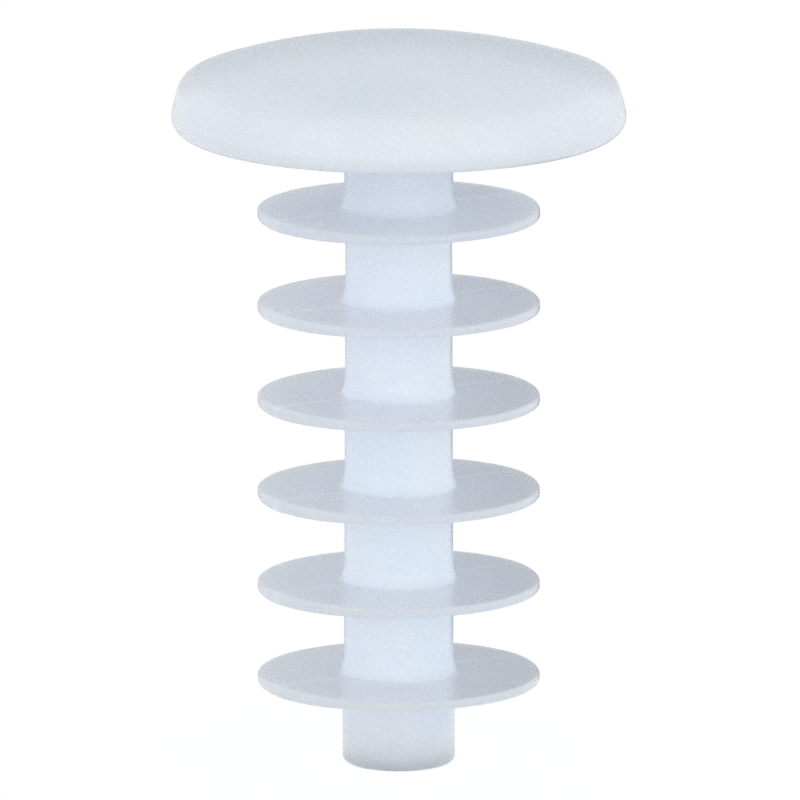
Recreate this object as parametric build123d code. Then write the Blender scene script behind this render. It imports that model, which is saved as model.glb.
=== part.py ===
from build123d import *
from math import radians, tan
import os

# A push-in hole plug, moulded in one piece of natural nylon: a low domed head
# on a shank that carries six thin round fins.
# Z is the axis and points up through the head. The origin is on the axis, in
# the seat plane where the flat underside of the head meets the panel.
# The two halves of the mould meet in the XZ plane.
# All sizes are in millimetres and degrees.

# The hole that the plug closes
hole_dia = 9.0
fin_reach = 0.5  # how far a free fin stands past the wall of the hole
head_reach = 3.68  # how far the head covers the panel round the hole

# Head
head_wall = 1.89  # seat plane to the edge of the dome
head_draft = 12.7
dome_rise = 1.37
head_lower_round = 0.57
head_upper_round = 0.9

# Shank, in bays between the head and the fins
neck_dia = 3.85  # between the head and the first fin
first_bay_dia = 3.78
last_bay_dia = 3.88
tip_dia = 4.0
tip_length = 3.07  # middle of the last fin to the end
tip_round = 0.26
flare_width = 0.24  # how far a bay widens at the middle of a fin
flare_height = 0.9

# Fins
fin_count = 6
fin_pitch = 3.36
first_fin_drop = 2.92  # seat plane to the middle of the first fin
fin_thickness = 0.45  # along the parting line, where it is greatest
fin_draft = 0.75
fin_root_round = 0.1
fin_rim_round = 0.14

# Sizes that follow from these
fin_radius = hole_dia / 2 + fin_reach
head_radius = hole_dia / 2 + head_reach
dome_edge_radius = head_radius - head_wall * tan(radians(head_draft))
dome_radius = (dome_edge_radius**2 + dome_rise**2) / (2 * dome_rise)
fin_drops = [first_fin_drop + fin_pitch * index for index in range(fin_count)]
plug_drop = fin_drops[-1] + tip_length
bay_growth = (last_bay_dia - first_bay_dia) / (fin_count - 2)
widest_root = tip_dia / 2 + flare_width
thinnest_rim = fin_thickness - 2 * fin_radius * tan(radians(fin_draft))
rim_round = min(fin_rim_round, 0.42 * thinnest_rim)


def head():
    """Low dome on a drafted side wall, flat underneath."""
    dome_edge = (dome_edge_radius, head_wall)
    apex = (0, head_wall + dome_rise)
    outline = Polyline(apex, (0, 0), (head_radius, 0), dome_edge)
    outline += RadiusArc(dome_edge, apex, -dome_radius)
    profile = make_face(outline)
    rim = profile.vertices().group_by(Axis.X)[-1]
    profile = fillet(rim, head_lower_round)
    shoulder = profile.vertices().sort_by_distance(dome_edge)[0]
    profile = fillet(shoulder, head_upper_round)
    return revolve(Plane.XZ * profile, Axis.Z)


def bay(top, bottom, radius):
    """Straight length of shank that flares at both ends into what it joins."""
    outline = Polyline((radius + flare_width, bottom), (0, bottom), (0, top), (radius + flare_width, top))
    outline += TangentArc((radius, top - flare_height), (radius + flare_width, top), tangent=(0, 1))
    outline += Line((radius, top - flare_height), (radius, bottom + flare_height))
    outline += TangentArc((radius, bottom + flare_height), (radius + flare_width, bottom), tangent=(0, -1))
    return revolve(Plane.XZ * make_face(outline), Axis.Z)


def tip(top, bottom, radius):
    """Round-edged end of the shank that enters the hole first."""
    outline = Polyline((radius, top - flare_height), (radius, bottom), (0, bottom), (0, top))
    outline += Line((0, top), (radius + flare_width, top))
    outline += TangentArc((radius, top - flare_height), (radius + flare_width, top), tangent=(0, 1))
    profile = make_face(outline)
    end_edge = profile.vertices().sort_by_distance((radius, bottom))[0]
    profile = fillet(end_edge, tip_round)
    return revolve(Plane.XZ * profile, Axis.Z)


def spread(edge):
    """Distance of the middle of an edge from the axis."""
    middle = edge.position_at(0.5)
    return (middle.X**2 + middle.Y**2) ** 0.5


def fin(drop):
    """Thin disc, thickest along X and drafted away from the parting line."""
    reach = fin_radius + 1
    half_middle = fin_thickness / 2
    half_side = half_middle - reach * tan(radians(fin_draft))
    section = make_face(
        Polyline(
            (0, half_middle),
            (reach, half_side),
            (reach, -half_side),
            (0, -half_middle),
            (-reach, -half_side),
            (-reach, half_side),
            close=True,
        )
    )
    slab = extrude(Plane.YZ * section, reach, both=True)
    disc = slab & Cylinder(fin_radius, 2 * fin_thickness)
    return Pos(0, 0, -drop) * disc


def fin_gap(edge):
    """Height of an edge above or below the nearest fin's middle."""
    return min(abs(edge.center().Z + drop) for drop in fin_drops)


def rim(body, drop, side):
    """Outer edges of one fin, on its upper side (1) or its lower side (-1)."""
    return [
        edge
        for edge in body.edges()
        if abs(spread(edge) - fin_radius) < 0.01
        and edge.length > fin_radius
        and 0 < side * (edge.center().Z + drop) < fin_thickness
    ]


plug = head() + bay(fin_thickness / 2, -fin_drops[0], neck_dia / 2)
for index in range(fin_count - 1):
    bay_radius = (first_bay_dia + bay_growth * index) / 2
    plug += bay(-fin_drops[index], -fin_drops[index + 1], bay_radius)
plug += tip(-fin_drops[-1], -plug_drop, tip_dia / 2)
for drop in fin_drops:
    plug += fin(drop)

roots = [
    edge
    for edge in plug.edges()
    if spread(edge) < widest_root
    and edge.length > neck_dia
    and min(fin_gap(edge), abs(edge.center().Z)) < fin_thickness
]
plug = fillet(roots, fin_root_round)
for drop in fin_drops:
    for side in (1, -1):
        plug = fillet(rim(plug, drop, side), rim_round)

plug.label = "plug_body"
plug.color = Color(0.86, 0.89, 0.93)

os.makedirs("parts", exist_ok=True)
export_step(plug, "parts/plug_body.step")
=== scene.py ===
"""A push-in hole plug of natural nylon, standing upright on its tip on a pale floor.

The plug is one moulding: a low domed head on a shank ringed with thin fins. Its shape comes
whole from the frame, so this file gives it its material and sets the stage round it.
Lengths are in metres, and sizes in millimetres are written with the factor MM.
"""

import math

import bmesh
import bpy
from bpy.props import FloatProperty, FloatVectorProperty, PointerProperty
from mathutils import Matrix, Vector


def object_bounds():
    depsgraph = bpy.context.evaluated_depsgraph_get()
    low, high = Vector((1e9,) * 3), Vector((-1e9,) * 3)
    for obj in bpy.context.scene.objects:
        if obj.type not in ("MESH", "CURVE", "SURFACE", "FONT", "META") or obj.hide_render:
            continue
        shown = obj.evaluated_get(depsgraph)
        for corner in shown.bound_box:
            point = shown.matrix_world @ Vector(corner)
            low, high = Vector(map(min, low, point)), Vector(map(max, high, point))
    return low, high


bl_info = {
    "name": "Hole plug in natural nylon",
    "version": (1, 0, 0),
    "blender": (4, 5, 0),
    "location": "View3D > Sidebar > Plug",
    "description": "Finishes a moulded hole plug and sets its stage",
    "category": "Object",
}

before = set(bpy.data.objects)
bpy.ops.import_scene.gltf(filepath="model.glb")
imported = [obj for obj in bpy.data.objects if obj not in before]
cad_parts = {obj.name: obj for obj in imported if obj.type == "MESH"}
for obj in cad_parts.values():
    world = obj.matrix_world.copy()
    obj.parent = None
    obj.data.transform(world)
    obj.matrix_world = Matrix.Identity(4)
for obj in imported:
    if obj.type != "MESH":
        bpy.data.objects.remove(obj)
CAD_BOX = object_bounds()

MM = 0.001
PLUG = "plug_body"

# Where the painted crease highlight shows: outside the shank and below the head
HIGHLIGHT_STARTS = 2.1 * MM
HIGHLIGHT_FULL = 2.7 * MM
HIGHLIGHT_TOP = -0.5 * MM
HIGHLIGHT_FULL_BELOW = -0.8 * MM

# Floor
FLOOR_GAP = 0.01 * MM
FLOOR_HALF_WIDTH = 3.0

# Lamps. The low ones are strips, so that their light runs level between the fins.
LOW_LAMPS = (("left_lamp", -45), ("front_lamp", 0), ("right_lamp", 45))
LOW_LAMP_RISE = math.radians(3)
LOW_LAMP_DISTANCE = 0.4
LOW_LAMP_SIZE = (0.24, 0.06)
TOP_LAMP_RISE = math.radians(80)
TOP_LAMP_DISTANCE = 0.3
TOP_LAMP_SIZE = (0.24, 0.24)

# Grey cards that only reflections see
FAR_FLAG_DISTANCE = 0.3
FAR_FLAG_RAISE = 0.05
FAR_FLAG_SIZE = (0.35, 0.13)
FAR_FLAG_LEVELS = (0.6, 0.5)
NEAR_FLAG_DISTANCE = 12 * MM
NEAR_FLAG_DROP = 0.25 * MM
NEAR_FLAG_SIZE = (22 * MM, 22 * MM)
NEAR_FLAG_LEVELS = (0.6, 0.05)


# Colours


def linear(value):
    """One sRGB channel, 0 to 1, as linear light."""
    if value <= 0.04045:
        return value / 12.92
    return ((value + 0.055) / 1.055) ** 2.4


def colour(code):
    """An sRGB hex code as a linear RGB triple."""
    channels = [int(code[start:start + 2], 16) / 255 for start in (0, 2, 4)]
    return tuple(linear(channel) for channel in channels)


def rgba(triple):
    """A linear RGB triple with full alpha."""
    return (*triple, 1.0)


# Nodes


def add(tree, kind, settings=None, sockets=None, links=None):
    """Adds a node, sets its properties and socket values, and links outputs to its inputs."""
    node = tree.nodes.new(kind)
    for name, value in (settings or {}).items():
        setattr(node, name, value)
    for name, value in (sockets or {}).items():
        node.inputs[name].default_value = value
    for name, output in (links or {}).items():
        tree.links.new(output, node.inputs[name])
    return node


def empty_tree(owner):
    """Turns nodes on for a material or world and clears them."""
    owner.use_nodes = True
    owner.node_tree.nodes.clear()
    return owner.node_tree


def seen_directly(tree, path):
    """1 for the rays that show a surface, seen, mirrored or through, and 0 for those that light it."""
    seen = add(
        tree,
        "ShaderNodeMath",
        settings={"operation": "MAXIMUM"},
        links={0: path.outputs["Is Camera Ray"], 1: path.outputs["Is Glossy Ray"]},
    )
    return add(
        tree,
        "ShaderNodeMath",
        settings={"operation": "MAXIMUM"},
        links={0: seen.outputs[0], 1: path.outputs["Is Transmission Ray"]},
    ).outputs[0]


def direction(azimuth, elevation):
    """Unit vector from the plug towards a place at this bearing and height, both in radians."""
    level = math.cos(elevation)
    return Vector((math.sin(azimuth) * level, -math.cos(azimuth) * level, math.sin(elevation)))


def rightwards(stage):
    """Level unit vector to the right, as the camera sees it."""
    return Vector((math.cos(stage.camera_azimuth), math.sin(stage.camera_azimuth), 0))


# Settings that a user may change


class PlugNylonSettings(bpy.types.PropertyGroup):
    """Colour and finish of the moulding."""

    body: FloatVectorProperty(
        name="Body",
        description="Main colour of the nylon",
        subtype="COLOR",
        min=0,
        max=1,
        default=colour("EAF0FA"),
    )
    haze: FloatVectorProperty(
        name="Haze",
        description="Cooler tone that clouds the nylon in soft patches",
        subtype="COLOR",
        min=0,
        max=1,
        default=colour("E4ECF9"),
    )
    blush: FloatVectorProperty(
        name="Blush",
        description="Faint warm tone where the resin set last",
        subtype="COLOR",
        min=0,
        max=1,
        default=colour("E9ECF9"),
    )
    glow_depth: FloatProperty(
        name="Glow depth",
        description="How far light wanders inside the nylon",
        unit="LENGTH",
        precision=5,
        default=5.0 * MM,
    )
    glow: FloatProperty(
        name="Glow",
        description="Share of the light that goes through the skin",
        subtype="FACTOR",
        min=0,
        max=1,
        default=1.0,
    )
    grain_size: FloatProperty(
        name="Grain size",
        description="Size of the fine texture that the mould leaves",
        unit="LENGTH",
        precision=5,
        default=0.07 * MM,
    )
    # The pale line on the fins is a painted highlight along the parting line.
    crease_highlight_width: FloatProperty(
        name="Crease width",
        description="Width of the pale line on the fins where the two halves of the mould meet",
        unit="LENGTH",
        precision=5,
        default=0.8 * MM,
    )
    cloud_size: FloatProperty(
        name="Cloud size",
        description="Size of the soft patches in the haze",
        unit="LENGTH",
        precision=5,
        default=3.5 * MM,
    )


class PlugStageSettings(bpy.types.PropertyGroup):
    """Camera, lamps and floor."""

    camera_azimuth: FloatProperty(
        name="Camera bearing",
        description="Bearing of the camera round the plug",
        subtype="ANGLE",
        default=math.radians(-30),
    )
    camera_elevation: FloatProperty(
        name="Camera height",
        description="Angle of the camera above level",
        subtype="ANGLE",
        default=math.radians(12.2),
    )
    camera_distance: FloatProperty(
        name="Camera distance",
        description="Distance from the camera to the plug",
        unit="LENGTH",
        default=0.8,
    )
    view_width: FloatProperty(
        name="View width",
        description="Width of the view where the plug stands",
        unit="LENGTH",
        precision=5,
        default=28.31 * MM,
    )
    view_drop: FloatProperty(
        name="View drop",
        description="How far below the head's seat the camera aims",
        unit="LENGTH",
        precision=5,
        default=9.71 * MM,
    )
    view_shift: FloatProperty(
        name="View shift",
        description="How far to the right of the plug the camera stands",
        unit="LENGTH",
        precision=5,
        default=0.045 * MM,
    )
    key_level: FloatProperty(
        name="Low lamps",
        description="Light that each of the three low lamps brings, as a share of a white card's",
        min=0,
        default=0.055,
    )
    top_level: FloatProperty(
        name="Top lamp",
        description="Light that the lamp overhead brings, as a share of a white card's",
        min=0,
        default=0.07,
    )
    sky_level: FloatProperty(
        name="Room light",
        description="Light that comes from all round, as a share of a white card's",
        min=0,
        default=0.785,
    )


# Material


def crease_highlight_mask(tree, place, width):
    """Share of the painted highlight at each point: a soft pale line painted on the fins along the mould's
    parting plane, where the ridge would catch the light.
    """
    parts = add(tree, "ShaderNodeSeparateXYZ", links={0: place})
    aside = add(tree, "ShaderNodeMath", settings={"operation": "ABSOLUTE"}, links={0: parts.outputs["Y"]})
    line = add(
        tree,
        "ShaderNodeMapRange",
        settings={"interpolation_type": "SMOOTHSTEP"},
        sockets={"From Min": 0.0, "From Max": width / 2, "To Min": 1.0, "To Max": 0.0},
        links={"Value": aside.outputs[0]},
    )
    level = add(
        tree,
        "ShaderNodeVectorMath",
        settings={"operation": "MULTIPLY"},
        links={0: place},
    )
    level.inputs[1].default_value = (1, 1, 0)
    reach = add(tree, "ShaderNodeVectorMath", settings={"operation": "LENGTH"}, links={0: level.outputs[0]})
    beyond_shank = add(
        tree,
        "ShaderNodeMapRange",
        sockets={"From Min": HIGHLIGHT_STARTS, "From Max": HIGHLIGHT_FULL, "To Min": 0.0, "To Max": 1.0},
        links={"Value": reach.outputs["Value"]},
    )
    below_head = add(
        tree,
        "ShaderNodeMapRange",
        sockets={"From Min": HIGHLIGHT_TOP, "From Max": HIGHLIGHT_FULL_BELOW, "To Min": 0.0, "To Max": 1.0},
        links={"Value": parts.outputs["Z"]},
    )
    on_fins = add(
        tree,
        "ShaderNodeMath",
        settings={"operation": "MULTIPLY"},
        links={0: beyond_shank.outputs["Result"], 1: below_head.outputs["Result"]},
    )
    return add(
        tree,
        "ShaderNodeMath",
        settings={"operation": "MULTIPLY"},
        links={0: line.outputs["Result"], 1: on_fins.outputs[0]},
    ).outputs[0]


def natural_nylon(settings):
    """Natural nylon 6/6, injection moulded and left uncoloured.

    The resin is milky rather than white: light goes a little way in and comes out again, so
    thin fins glow, edges look soft and shade never turns grey. The mould's fine spark-eroded
    skin gives a satin sheen with no sharp reflection.
    """
    material = bpy.data.materials.new("natural_nylon")
    tree = empty_tree(material)
    place = add(tree, "ShaderNodeTexCoord").outputs["Object"]

    clouds = add(
        tree,
        "ShaderNodeTexNoise",
        sockets={"Scale": 1 / settings.cloud_size, "Detail": 2.0, "Roughness": 0.5},
        links={"Vector": place},
    )
    blush = add(
        tree,
        "ShaderNodeTexNoise",
        sockets={"Scale": 0.6 / settings.cloud_size, "Detail": 1.0, "Distortion": 0.4},
        links={"Vector": place},
    )
    speck = add(
        tree,
        "ShaderNodeTexNoise",
        sockets={"Scale": 1 / settings.grain_size, "Detail": 3.0, "Roughness": 0.65},
        links={"Vector": place},
    )
    cloud_share = add(
        tree,
        "ShaderNodeMapRange",
        sockets={"From Min": 0.38, "From Max": 0.66, "To Min": 0.0, "To Max": 1.0},
        links={"Value": clouds.outputs["Fac"]},
    )
    blush_share = add(
        tree,
        "ShaderNodeMapRange",
        sockets={"From Min": 0.48, "From Max": 0.7, "To Min": 0.0, "To Max": 0.7},
        links={"Value": blush.outputs["Fac"]},
    )
    hazed = add(
        tree,
        "ShaderNodeMix",
        settings={"data_type": "RGBA"},
        links={0: cloud_share.outputs["Result"]},
    )
    hazed.inputs[6].default_value = rgba(settings.body)
    hazed.inputs[7].default_value = rgba(settings.haze)
    blushed = add(
        tree,
        "ShaderNodeMix",
        settings={"data_type": "RGBA"},
        links={0: blush_share.outputs["Result"], 6: hazed.outputs[2]},
    )
    blushed.inputs[7].default_value = rgba(settings.blush)
    # Pale line painted on the fins along the parting plane: a painted highlight where the ridge would catch
    # the light.
    crease_highlight = crease_highlight_mask(tree, place, settings.crease_highlight_width)
    shade = add(
        tree,
        "ShaderNodeMapRange",
        sockets={"From Min": 0.3, "From Max": 0.7, "To Min": 0.93, "To Max": 1.05},
        links={"Value": speck.outputs["Fac"]},
    )
    skin = add(
        tree,
        "ShaderNodeVectorMath",
        settings={"operation": "SCALE"},
        links={0: blushed.outputs[2], "Scale": shade.outputs["Result"]},
    )
    highlighted_skin = add(
        tree,
        "ShaderNodeMix",
        settings={"data_type": "RGBA"},
        links={0: crease_highlight, 6: skin.outputs["Vector"]},
    )
    # Colour of the painted crease highlight.
    highlighted_skin.inputs[7].default_value = rgba(colour("F6F9FF"))
    sheen = add(
        tree,
        "ShaderNodeMapRange",
        sockets={"From Min": 0.3, "From Max": 0.7, "To Min": 0.22, "To Max": 0.3},
        links={"Value": speck.outputs["Fac"]},
    )
    grain = add(
        tree,
        "ShaderNodeBump",
        sockets={"Strength": 0.35, "Distance": 0.012 * MM},
        links={"Height": speck.outputs["Fac"]},
    )
    surface = add(
        tree,
        "ShaderNodeBsdfPrincipled",
        sockets={
            "IOR": 1.53,
            "Specular IOR Level": 0.5,
            "Subsurface Weight": settings.glow,
            "Subsurface Radius": (1.0, 1.05, 1.15),
            "Subsurface Scale": settings.glow_depth,
        },
        links={
            "Base Color": highlighted_skin.outputs[2],
            "Roughness": sheen.outputs["Result"],
            "Normal": grain.outputs["Normal"],
        },
    )
    add(tree, "ShaderNodeOutputMaterial", links={"Surface": surface.outputs["BSDF"]})
    return material


def white_floor():
    """Matt white card. It shows as paper white, and only the plug's shadow takes it down a little.

    From underneath, the camera sees through it to the plug.
    """
    material = bpy.data.materials.new("white_card")
    tree = empty_tree(material)
    path = add(tree, "ShaderNodeLightPath")
    seen = seen_directly(tree, path)
    card = add(tree, "ShaderNodeBsdfDiffuse", sockets={"Color": rgba(colour("F0F1F4"))})
    shadow = add(tree, "ShaderNodeBsdfDiffuse", sockets={"Color": (0.24, 0.24, 0.24, 1)})
    white = add(tree, "ShaderNodeEmission", sockets={"Strength": 0.84})
    lit = add(tree, "ShaderNodeAddShader", links={0: shadow.outputs["BSDF"], 1: white.outputs["Emission"]})
    mix = add(
        tree,
        "ShaderNodeMixShader",
        links={0: seen, 1: card.outputs["BSDF"], 2: lit.outputs["Shader"]},
    )
    below = add(tree, "ShaderNodeNewGeometry").outputs["Backfacing"]
    from_below = add(
        tree,
        "ShaderNodeMath",
        settings={"operation": "MULTIPLY"},
        links={0: below, 1: path.outputs["Is Camera Ray"]},
    )
    clear = add(tree, "ShaderNodeBsdfTransparent")
    surface = add(
        tree,
        "ShaderNodeMixShader",
        links={0: from_below.outputs[0], 1: mix.outputs["Shader"], 2: clear.outputs["BSDF"]},
    )
    add(tree, "ShaderNodeOutputMaterial", links={"Surface": surface.outputs["Shader"]})
    return material


# Stage pieces


def make_floor():
    """A wide flat card under the tip."""
    mesh = bpy.data.meshes.new("floor")
    card = bmesh.new()
    bmesh.ops.create_grid(card, x_segments=1, y_segments=1, size=FLOOR_HALF_WIDTH)
    bmesh.ops.translate(card, verts=card.verts, vec=(0, 0, CAD_BOX[0].z - FLOOR_GAP))
    card.to_mesh(mesh)
    card.free()
    floor = bpy.data.objects.new("floor", mesh)
    mesh.materials.append(white_floor())
    bpy.context.collection.objects.link(floor)


def make_lamp(name, level, back, distance, size, target):
    """A soft lamp off in the direction back that gives a facing white card this share of white."""
    lamp = bpy.data.lights.new(name, "AREA")
    lamp.shape = "RECTANGLE"
    lamp.size, lamp.size_y = size
    lamp.energy = level * math.pi**2 * distance**2
    holder = bpy.data.objects.new(name, lamp)
    holder.location = target + back * distance
    holder.rotation_euler = back.to_track_quat("Z", "Y").to_euler()
    bpy.context.collection.objects.link(holder)


def grey_card(name, right, reach, levels):
    """A card that only reflections see, graded from one grey on its left to another on its right."""
    material = bpy.data.materials.new(name)
    tree = empty_tree(material)
    place = add(tree, "ShaderNodeTexCoord").outputs["Object"]
    aside = add(tree, "ShaderNodeVectorMath", settings={"operation": "DOT_PRODUCT"}, links={0: place})
    aside.inputs[1].default_value = right
    ramp = {"From Min": -reach, "From Max": reach, "To Min": levels[0], "To Max": levels[1]}
    level = add(tree, "ShaderNodeMapRange", sockets=ramp, links={"Value": aside.outputs["Value"]})
    grey = add(
        tree,
        "ShaderNodeEmission",
        sockets={"Color": (0.93, 0.97, 1, 1)},
        links={"Strength": level.outputs["Result"]},
    )
    add(tree, "ShaderNodeOutputMaterial", links={"Surface": grey.outputs["Emission"]})
    return material


def make_flag(name, stage, centre, size, levels):
    """An upright card square to the camera, out of sight, that the low sheen of the nylon picks up."""
    right = rightwards(stage)
    mesh = bpy.data.meshes.new(name)
    card = bmesh.new()
    bmesh.ops.create_grid(card, x_segments=1, y_segments=1, size=0.5)
    bmesh.ops.transform(card, verts=card.verts, matrix=Matrix.Diagonal((*size, 1, 1)))
    turn = Matrix.Rotation(stage.camera_azimuth, 4, "Z") @ Matrix.Rotation(math.radians(90), 4, "X")
    bmesh.ops.transform(card, verts=card.verts, matrix=Matrix.Translation(centre) @ turn)
    card.to_mesh(mesh)
    card.free()
    flag = bpy.data.objects.new(name, mesh)
    mesh.materials.append(grey_card(name, right, size[0] / 4, levels))
    flag.visible_camera = False
    flag.visible_diffuse = False
    flag.visible_shadow = False
    flag.visible_transmission = False
    bpy.context.collection.objects.link(flag)


def make_camera(stage, target):
    """A long lens, so that upright lines stay parallel."""
    lens = bpy.data.cameras.new("camera")
    lens.sensor_width = 36.0
    lens.lens = lens.sensor_width * stage.camera_distance / stage.view_width
    lens.clip_start = 0.01
    lens.clip_end = 20.0
    camera = bpy.data.objects.new("camera", lens)
    back = direction(stage.camera_azimuth, stage.camera_elevation)
    camera.location = target + back * stage.camera_distance
    camera.location += stage.view_shift * rightwards(stage)
    camera.rotation_euler = back.to_track_quat("Z", "Y").to_euler()
    bpy.context.collection.objects.link(camera)
    bpy.context.scene.camera = camera


def make_room(stage):
    """A pale room, lighter towards the horizon and a little lighter on the side away from the camera, that
    shows as plain white behind the plug.
    """
    world = bpy.data.worlds.new("pale_room")
    tree = empty_tree(world)
    path = add(tree, "ShaderNodeLightPath")
    seen = seen_directly(tree, path)
    bearing = add(tree, "ShaderNodeTexCoord").outputs["Generated"]
    facing = add(
        tree,
        "ShaderNodeVectorMath",
        settings={"operation": "DOT_PRODUCT"},
        links={0: bearing},
    )
    facing.inputs[1].default_value = direction(stage.camera_azimuth - math.radians(20), math.radians(25))
    level = add(
        tree,
        "ShaderNodeMapRange",
        sockets={"From Min": -1.0, "From Max": 1.0, "To Min": 1.15, "To Max": 0.9},
        links={"Value": facing.outputs["Value"]},
    )
    height = add(tree, "ShaderNodeSeparateXYZ", links={0: bearing}).outputs["Z"]
    steepness = add(tree, "ShaderNodeMath", settings={"operation": "ABSOLUTE"}, links={0: height})
    walls = add(
        tree,
        "ShaderNodeMapRange",
        settings={"interpolation_type": "SMOOTHSTEP"},
        sockets={"From Min": 0.4, "From Max": 0.85, "To Min": 1.7, "To Max": 0.3},
        links={"Value": steepness.outputs[0]},
    )
    shape = add(
        tree,
        "ShaderNodeMath",
        settings={"operation": "MULTIPLY"},
        links={0: level.outputs["Result"], 1: walls.outputs["Result"]},
    )
    strength = add(tree, "ShaderNodeMath", settings={"operation": "MULTIPLY"}, links={0: shape.outputs[0]})
    strength.inputs[1].default_value = stage.sky_level
    room = add(
        tree,
        "ShaderNodeBackground",
        sockets={"Color": (0.93, 0.965, 1.0, 1)},
        links={"Strength": strength.outputs[0]},
    )
    white = add(tree, "ShaderNodeBackground", sockets={"Color": (1, 1, 1, 1), "Strength": 1.0})
    mix = add(
        tree,
        "ShaderNodeMixShader",
        links={0: seen, 1: room.outputs[0], 2: white.outputs[0]},
    )
    add(tree, "ShaderNodeOutputWorld", links={"Surface": mix.outputs["Shader"]})
    bpy.context.scene.world = world


# Operators


class PLUG_OT_finish_body(bpy.types.Operator):
    """Give the moulding its natural nylon"""

    bl_idname = "plug.finish_body"
    bl_label = "Finish the moulding"

    def execute(self, context):
        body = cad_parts[PLUG]
        body.data.materials.clear()
        body.data.materials.append(natural_nylon(context.scene.plug_nylon))
        return {"FINISHED"}


class PLUG_OT_set_stage(bpy.types.Operator):
    """Set the floor, the room, the lamps, the cards and the camera"""

    bl_idname = "plug.set_stage"
    bl_label = "Set the stage"

    def execute(self, context):
        stage = context.scene.plug_stage
        target = Vector((0, 0, -stage.view_drop))
        ahead = stage.camera_azimuth
        make_floor()
        make_room(stage)
        for name, side in LOW_LAMPS:
            back = direction(ahead + math.radians(side), LOW_LAMP_RISE)
            make_lamp(name, stage.key_level, back, LOW_LAMP_DISTANCE, LOW_LAMP_SIZE, target)
        overhead = direction(ahead, TOP_LAMP_RISE)
        make_lamp("top_lamp", stage.top_level, overhead, TOP_LAMP_DISTANCE, TOP_LAMP_SIZE, target)
        behind = direction(ahead + math.pi, 0)
        far = FAR_FLAG_DISTANCE * behind + Vector((0, 0, FAR_FLAG_RAISE))
        make_flag("far_flag", stage, far, FAR_FLAG_SIZE, FAR_FLAG_LEVELS)
        near = NEAR_FLAG_DISTANCE * behind + Vector((0, 0, CAD_BOX[0].z / 2 - NEAR_FLAG_DROP))
        make_flag("near_flag", stage, near, NEAR_FLAG_SIZE, NEAR_FLAG_LEVELS)
        make_camera(stage, target)
        context.scene.view_settings.view_transform = "Standard"
        return {"FINISHED"}


class PLUG_PT_sidebar(bpy.types.Panel):
    """Lists the steps and settings of the plug."""

    bl_idname = "PLUG_PT_sidebar"
    bl_label = "Hole plug"
    bl_space_type = "VIEW_3D"
    bl_region_type = "UI"
    bl_category = "Plug"

    def draw(self, context):
        column = self.layout.column()
        for settings in (context.scene.plug_nylon, context.scene.plug_stage):
            for name in settings.__annotations__:
                column.prop(settings, name)
        for step in STEPS:
            column.operator(step.bl_idname)


STEPS = (PLUG_OT_finish_body, PLUG_OT_set_stage)
CLASSES = (PlugNylonSettings, PlugStageSettings, *STEPS, PLUG_PT_sidebar)


def register():
    """Registers every class and hangs the settings on the scene."""
    for item in CLASSES:
        bpy.utils.register_class(item)
    bpy.types.Scene.plug_nylon = PointerProperty(type=PlugNylonSettings)
    bpy.types.Scene.plug_stage = PointerProperty(type=PlugStageSettings)


def unregister():
    """Takes back all that register added."""
    del bpy.types.Scene.plug_stage
    del bpy.types.Scene.plug_nylon
    for item in reversed(CLASSES):
        bpy.utils.unregister_class(item)


def main():
    register()
    bpy.ops.plug.finish_body()
    bpy.ops.plug.set_stage()


if __name__ == "__main__":
    main()
